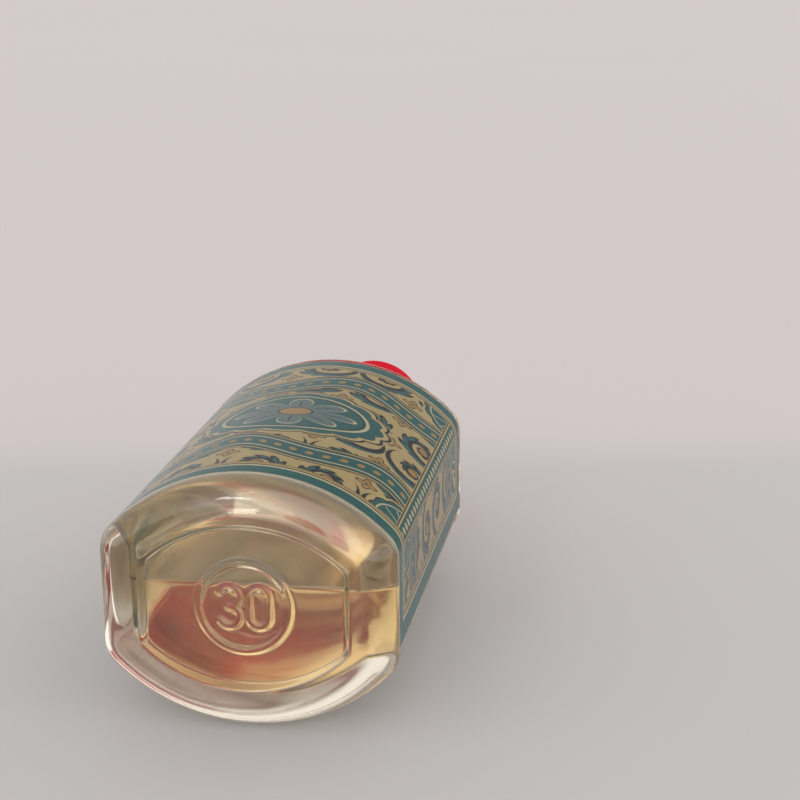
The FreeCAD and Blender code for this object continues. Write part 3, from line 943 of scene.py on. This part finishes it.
turned = Matrix((tilted_right, tilted_up, back)).transposed().to_4x4()
camera.matrix_world = Matrix.Translation(EYE) @ turned
bpy.context.scene.collection.objects.link(camera)
bpy.context.scene.camera = camera

# Floor: one plane, a little lighter beyond a soft line behind the bottle.
FLOOR_REACH = 6.0
FLOOR_LIFT = 0.2
NEAR_FLOOR = srgb(170, 166, 164)
FAR_FLOOR = srgb(180, 172, 171)
CHANGE_START, CHANGE_END = 0.054578, 0.074578  # metres along "ahead" from the origin
CLOUD = 0.97  # how dark the floor gets in its darker clouds


def build_floor():
    """A pale plane that is a little lighter to the eye, in gloss and through glass."""
    r = FLOOR_REACH
    mesh = bpy.data.meshes.new("floor")
    mesh.from_pydata([(-r, -r, 0), (r, -r, 0), (r, r, 0), (-r, r, 0)], [], [(0, 1, 2, 3)])
    obj = bpy.data.objects.new("floor", mesh)
    bpy.context.scene.collection.objects.link(obj)
    material, nodes, links, shader = new_material("floor_paint")
    place_at = nodes.new("ShaderNodeTexCoord")
    distance = nodes.new("ShaderNodeVectorMath")
    distance.operation = "DOT_PRODUCT"
    distance.inputs[1].default_value = ahead
    links.new(place_at.outputs["Object"], distance.inputs[0])
    change = add_range(nodes, links, distance.outputs["Value"], CHANGE_START, CHANGE_END, 0, 1)
    tone = add_noise(nodes, links, 6, 3)
    near = add_mix(nodes, links, tone, NEAR_FLOOR, tuple(c * CLOUD for c in NEAR_FLOOR))
    far = add_mix(nodes, links, tone, FAR_FLOOR, tuple(c * CLOUD for c in FAR_FLOOR))
    colour = add_mix(nodes, links, change, near, far)
    links.new(colour, shader.inputs["Base Color"])
    links.new(colour, shader.inputs["Emission Color"])
    shader.inputs["Roughness"].default_value = 0.75
    path = nodes.new("ShaderNodeLightPath")
    seen = path.outputs["Is Camera Ray"]
    for kind in ("Is Glossy Ray", "Is Transmission Ray"):
        either = nodes.new("ShaderNodeMath")
        either.operation = "MAXIMUM"
        links.new(seen, either.inputs[0])
        links.new(path.outputs[kind], either.inputs[1])
        seen = either.outputs["Value"]
    lift = add_range(nodes, links, seen, 0, 1, 0, FLOOR_LIFT)
    links.new(lift, shader.inputs["Emission Strength"])
    material.cycles.emission_sampling = "NONE"
    mesh.materials.append(material)


def area_light(name, place_at, aim, size, power, colour):
    lamp = bpy.data.lights.new(name, "AREA")
    lamp.shape = "RECTANGLE"
    lamp.size, lamp.size_y = size
    lamp.energy = power
    lamp.color = colour
    obj = bpy.data.objects.new(name, lamp)
    obj.location = place_at
    obj.rotation_euler = (Vector(aim) - Vector(place_at)).to_track_quat("-Z", "Y").to_euler()
    bpy.context.scene.collection.objects.link(obj)


WORLD_LEVELS = (0.5, 1.45)  # far side, bright side
HORIZON_LEVELS = (1.85, 0.6)  # level, straight up
BRIGHT_SIDE = right * 0.2 - ahead * 0.75 + Vector((0, 0, 0.5))
WORLD_TINT = (0.99, 0.985, 0.985)
WINDOW_PLACE, WINDOW_SIZE = (-0.55, -1.8, 0.95), (0.32, 0.3)
WINDOW_POWER, WINDOW_TINT = 3, (1.0, 0.98, 0.96)


def build_world():
    """A pale room, brighter on the side that the photograph was taken from."""
    world = bpy.data.worlds.new("studio")
    world.use_nodes = True
    nodes, links = world.node_tree.nodes, world.node_tree.links
    background = nodes["Background"]
    coords = nodes.new("ShaderNodeTexCoord")
    side = nodes.new("ShaderNodeVectorMath")
    side.operation = "DOT_PRODUCT"
    side.inputs[1].default_value = BRIGHT_SIDE.normalized()
    links.new(coords.outputs["Generated"], side.inputs[0])
    apart = nodes.new("ShaderNodeSeparateXYZ")
    links.new(coords.outputs["Generated"], apart.inputs["Vector"])
    by_height = add_range(nodes, links, apart.outputs["Z"], 0, 1, *HORIZON_LEVELS)
    by_side = add_range(nodes, links, side.outputs["Value"], -1, 1, *WORLD_LEVELS)
    both = nodes.new("ShaderNodeMath")
    both.operation = "MULTIPLY"
    links.new(by_height, both.inputs[0])
    links.new(by_side, both.inputs[1])
    links.new(both.outputs["Value"], background.inputs["Strength"])
    background.inputs["Color"].default_value = (*WORLD_TINT, 1)
    bpy.context.scene.world = world


build_floor()
build_world()
area_light("window", WINDOW_PLACE, (0, 0, 0), WINDOW_SIZE, WINDOW_POWER, WINDOW_TINT)

scene = bpy.context.scene
scene.view_settings.view_transform = "Standard"
scene.cycles.max_bounces = 32
scene.cycles.transmission_bounces = 32
scene.cycles.glossy_bounces = 16
scene.cycles.diffuse_bounces = 6
